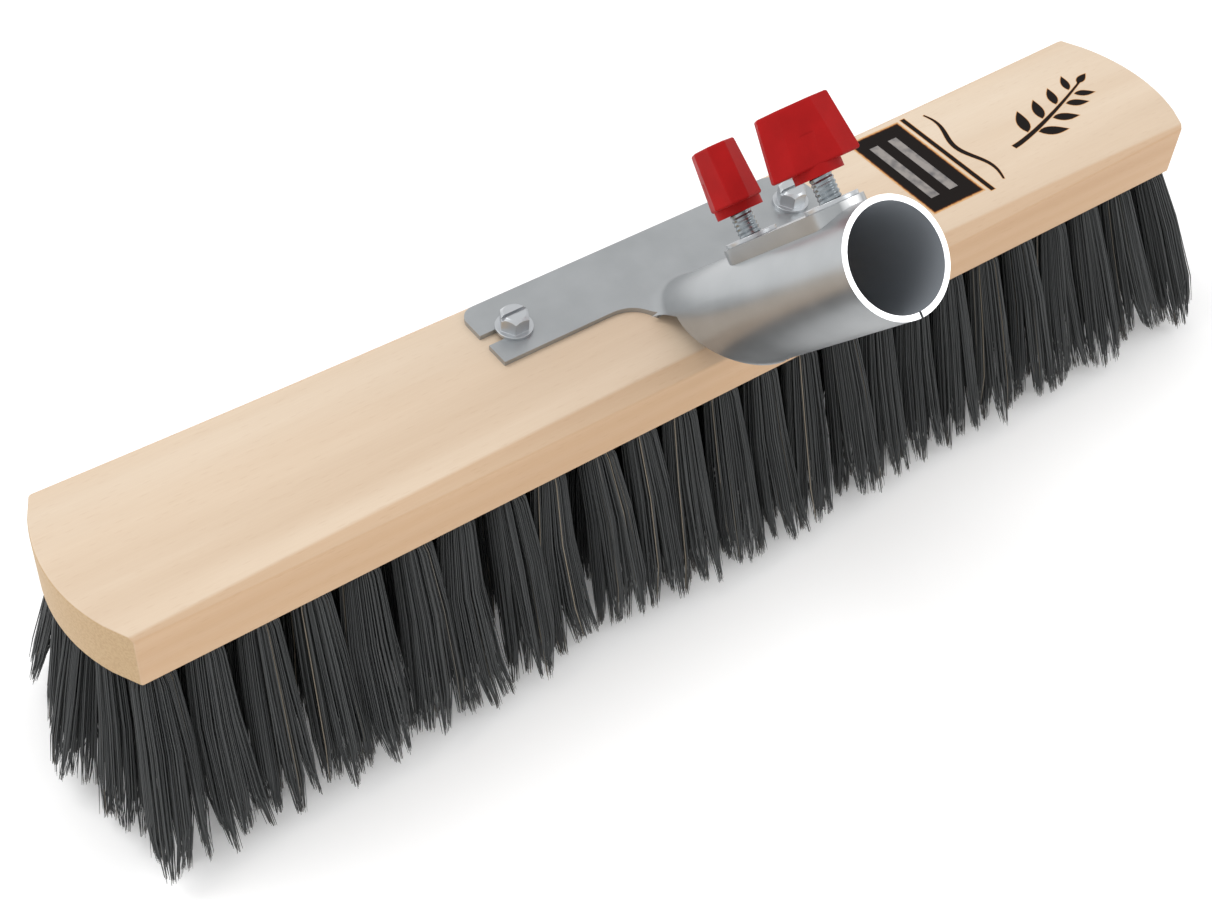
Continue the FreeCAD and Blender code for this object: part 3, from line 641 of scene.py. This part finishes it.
near_axis = add_node(
    tree, "MapRange", {},
    {"Value": radius.outputs["Value"], "From Min": 0.0153, "From Max": 0.0157, "To Min": 1.0, "To Max": 0.0},
)
facing_in = add_node(
    tree, "MapRange", {},
    {"Value": inward.outputs["Value"], "From Min": -0.009, "From Max": -0.004, "To Min": 1.0, "To Max": 0.0},
)
inside = add_node(tree, "Math", {"operation": "MULTIPLY"}, {0: near_axis.outputs[0], 1: facing_in.outputs[0]})
dulled = add_node(
    tree, "Mix", {"data_type": "RGBA"},
    {"Factor": inside.outputs[0], "A": tint.outputs["Color"], "B": srgb("#969BA1")},
)
# the rim of the mouth, which faces along that axis, is painted near-white: a painted highlight
along_axis = add_node(
    tree, "VectorMath", {"operation": "DOT_PRODUCT"}, {0: place.outputs["Normal"], 1: SOCKET_AXIS}
)
rim_highlight_mask = add_node(
    tree, "MapRange", {}, {"Value": along_axis.outputs["Value"], "From Min": 0.9, "From Max": 0.97}
)
rim_painted_highlight = add_node(
    tree, "Mix", {"data_type": "RGBA"},
    {"Factor": rim_highlight_mask.outputs[0], "A": dulled.outputs["Result"], "B": srgb("#F4F5F6")},
)
tree.links.new(rim_painted_highlight.outputs["Result"], shader.inputs["Base Color"])
smooth = add_node(
    tree, "MapRange", {},
    {"Value": cloud.outputs["Fac"], "From Min": 0.3, "From Max": 0.7, "To Min": 0.29, "To Max": 0.35},
)
rough = add_node(
    tree, "Math", {"operation": "MULTIPLY_ADD"}, {0: inside.outputs[0], 1: 0.35, 2: smooth.outputs[0]}
)
tree.links.new(rough.outputs[0], shader.inputs["Roughness"])
metal = add_node(tree, "MapRange", {}, {"Value": inside.outputs[0], "To Min": 0.8, "To Max": 0.35})
tree.links.new(metal.outputs[0], shader.inputs["Metallic"])
skin = add_node(tree, "Bump", {}, {"Strength": 0.04, "Distance": 0.0002, "Height": grain.outputs["Fac"]})
tree.links.new(skin.outputs[0], shader.inputs["Normal"])
for node in ("handle_holder", "thread_strip"):
    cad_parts[node].data.materials[0] = zinc_sheet


# ---------------------------------------------------------------- screws and collars
# Bright zinc plated steel: two slotted screws hold the plate to the block, and two threaded collars
# carry the clamp screws. The plating is brighter than the sheet's, and a little more matt.

plated_steel, tree, shader = new_material("bright_plated_steel")
place = add_node(tree, "TexCoord", {}, {})
haze = add_node(tree, "TexNoise", {}, {"Vector": place.outputs["Object"], "Scale": 300.0, "Detail": 3.0})
rough = add_node(
    tree, "MapRange", {},
    {"Value": haze.outputs["Fac"], "From Min": 0.3, "From Max": 0.7, "To Min": 0.32, "To Max": 0.40},
)
tree.links.new(rough.outputs[0], shader.inputs["Roughness"])
shader.inputs["Base Color"].default_value = srgb("#C2C5C8")
shader.inputs["Metallic"].default_value = 1.0
# the formed edges are eased by 0.3 mm
eased = add_node(tree, "Bevel", {"samples": 8}, {"Radius": 0.0003})
tree.links.new(eased.outputs[0], shader.inputs["Normal"])
for node in ("holder_screws", "lower_thread_collar", "upper_thread_collar"):
    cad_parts[node].data.materials[0] = plated_steel


# ---------------------------------------------------------------- clamp screws
# Two quarter-inch screws with a rolled thread of 20 turns to the inch and a chamfered point. Their zinc
# is passivated blue, which makes them darker than the collars.

blue_zinc, tree, shader = new_material("blue_passivated_zinc")
place = add_node(tree, "TexCoord", {}, {})
haze = add_node(tree, "TexNoise", {}, {"Vector": place.outputs["Object"], "Scale": 500.0, "Detail": 3.0})
tint = add_node(tree, "ValToRGB", {}, {"Fac": haze.outputs["Fac"]})
tint.color_ramp.elements[0].position = 0.3
tint.color_ramp.elements[0].color = srgb("#868D92")
tint.color_ramp.elements[1].position = 0.7
tint.color_ramp.elements[1].color = srgb("#959CA0")
tree.links.new(tint.outputs["Color"], shader.inputs["Base Color"])
rough = add_node(tree, "MapRange", {}, {"Value": haze.outputs["Fac"], "To Min": 0.22, "To Max": 0.34})
tree.links.new(rough.outputs[0], shader.inputs["Roughness"])
shader.inputs["Metallic"].default_value = 1.0

PITCH = 0.00127
THREAD_DEPTH = 0.00028
THREAD_FORM = ((0.0, THREAD_DEPTH), (0.35, 0.0), (0.5, 0.0), (0.85, THREAD_DEPTH))
LEAD_TURNS = 2.33
CREST_RADIUS = 0.0032
POINT_RADIUS = CREST_RADIUS * 2 / 3
TURN_STEPS = 20
SCREW_RISE = math.radians(41)
outward = Vector((0, math.cos(SCREW_RISE), math.sin(SCREW_RISE)))
across = Vector((1, 0, 0))
for which in ("lower", "upper"):
    blank = [vert.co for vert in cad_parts[which + "_clamp_screw"].data.vertices]
    low = min(co.dot(outward) for co in blank)
    length = max(co.dot(outward) for co in blank) - low
    beside = outward.cross(across)
    offset = (min(co.dot(beside) for co in blank) + max(co.dot(beside) for co in blank)) / 2
    screw = bmesh.new()
    # the thread runs on past both ends, and none of its corners lies in an end's plane
    turns = int(length / PITCH) + 3
    profile = []
    for turn in range(turns):
        for share, depth in THREAD_FORM:
            corner = (CREST_RADIUS - depth, 0, (turn - LEAD_TURNS + share) * PITCH)
            profile.append(screw.verts.new(corner))
    runs = [screw.edges.new(pair) for pair in zip(profile, profile[1:])]
    bmesh.ops.spin(
        screw, geom=profile + runs, cent=(0, 0, 0), axis=(0, 0, 1), dvec=(0, 0, PITCH / TURN_STEPS),
        angle=math.tau, steps=TURN_STEPS, use_merge=False,
    )
    bmesh.ops.remove_doubles(screw, verts=screw.verts, dist=1e-6)
    for height, facing in ((0.0, -1), (length, 1)):
        everything = screw.verts[:] + screw.edges[:] + screw.faces[:]
        bmesh.ops.bisect_plane(
            screw, geom=everything, plane_co=(0, 0, height), plane_no=(0, 0, facing), clear_outer=True,
        )
        rim = []
        for edge in screw.edges:
            if all(abs(vert.co.z - height) < 1e-7 for vert in edge.verts):
                rim.append(edge)
        bmesh.ops.edgeloop_fill(screw, edges=rim)
    # the point is chamfered at 45 degrees
    for vert in screw.verts:
        reach = math.hypot(vert.co.x, vert.co.y)
        limit = POINT_RADIUS + vert.co.z
        if reach > limit:
            vert.co.x *= limit / reach
            vert.co.y *= limit / reach
    bmesh.ops.recalc_face_normals(screw, faces=screw.faces)
    seat = Matrix((across, beside, outward)).transposed().to_4x4()
    seat.translation = outward * low + beside * offset
    bmesh.ops.transform(screw, matrix=seat, verts=screw.verts)
    piece = finished(screw, which + "_threaded_screw", blue_zinc)
    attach(piece, which + "_screw")
    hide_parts(which + "_clamp_screw")


# ---------------------------------------------------------------- wing knobs
# Moulded in red polypropylene round the ends of the clamp screws. The colour goes right through, and a
# fine texture on every face keeps the gloss low.

red_plastic, tree, shader = new_material("red_polypropylene")
place = add_node(tree, "TexCoord", {}, {})
mottle = add_node(tree, "TexNoise", {}, {"Vector": place.outputs["Object"], "Scale": 120.0, "Detail": 3.0})
spark = add_node(tree, "TexNoise", {}, {"Vector": place.outputs["Object"], "Scale": 2200.0, "Detail": 2.0})
red = add_node(tree, "ValToRGB", {}, {"Fac": mottle.outputs["Fac"]})
red.color_ramp.elements[0].position = 0.3
red.color_ramp.elements[0].color = srgb("#970C0D")
red.color_ramp.elements[1].position = 0.7
red.color_ramp.elements[1].color = srgb("#A51011")
tree.links.new(red.outputs["Color"], shader.inputs["Base Color"])
bump = add_node(tree, "Bump", {}, {"Strength": 0.08, "Distance": 0.0001, "Height": spark.outputs["Fac"]})
tree.links.new(bump.outputs[0], shader.inputs["Normal"])
shader.inputs["Roughness"].default_value = 0.55
shader.inputs["Specular IOR Level"].default_value = 0.14
shader.inputs["IOR"].default_value = 1.49
for node in ("lower_wing_knob", "upper_wing_knob"):
    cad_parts[node].data.materials[0] = red_plastic
